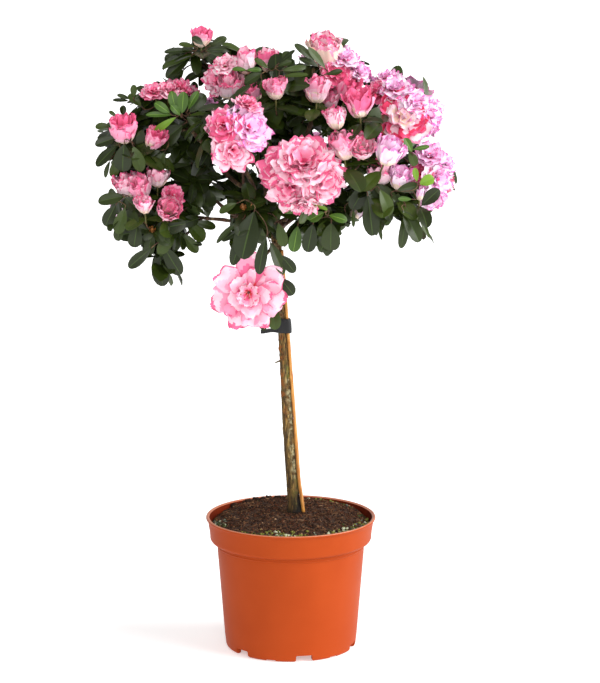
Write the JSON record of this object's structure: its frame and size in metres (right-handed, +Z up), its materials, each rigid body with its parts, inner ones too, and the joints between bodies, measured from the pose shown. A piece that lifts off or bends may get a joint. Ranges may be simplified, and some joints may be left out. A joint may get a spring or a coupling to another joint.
{
  "type": "potted standard azalea",
  "caption": "Azalea grown as a small standard: a bare stem tied to a cane, an umbrella crown of leaf and ruffled blossom, and a round tapered plastic pot of compost.",
  "frame": {"origin": "middle of the pot's flat underside, on the surface that the pot stands on", "axes": "+Z up along the pot's axis, +X to the right of the plant's front, -Y towards the front"},
  "size_m": [0.3537, 0.269, 0.6238],
  "materials": {
    "pot": "satin",
    "compost": "matte",
    "bark": "matte",
    "cane": "satin",
    "tie": "satin",
    "foliage": "satin",
    "blossom": "matte"
  },
  "bodies": {
    "root": {"pot": "pot", "compost": "compost", "stem": "bark", "cane": "cane", "tie": "tie", "bough_left_skirt": "bark", "bough_left_inner": "bark", "bough_left_upper": "bark", "bough_crest_left": "bark", "bough_face_left": "bark", "bough_crest_right": "bark", "bough_face_middle": "bark", "bough_face_right": "bark", "bough_right_skirt": "bark", "bough_right_upper": "bark", "bough_hanging": "bark", "bough_back_left": "bark", "bough_back_middle": "bark", "bough_back_right": "bark", "foliage_left_skirt": "foliage", "foliage_left_tip": "foliage", "foliage_left_inner": "foliage", "foliage_left_shoulder": "foliage", "foliage_left_upper": "foliage", "foliage_crest_left": "foliage", "foliage_crest_mid_left": "foliage", "foliage_face_left": "foliage", "foliage_crest_middle": "foliage", "foliage_crest_right": "foliage", "foliage_face_middle": "foliage", "foliage_face_right": "foliage", "foliage_right_upper": "foliage", "foliage_right_shoulder": "foliage", "foliage_right_skirt": "foliage", "foliage_right_tip": "foliage", "foliage_low_middle": "foliage", "foliage_low_left": "foliage", "foliage_hanging_spray": "foliage", "foliage_back_left": "foliage", "foliage_back_middle": "foliage", "foliage_back_right": "foliage", "foliage_back_crest": "foliage", "foliage_back_low_left": "foliage", "foliage_back_low_right": "foliage"}
  },
  "joints": []
}
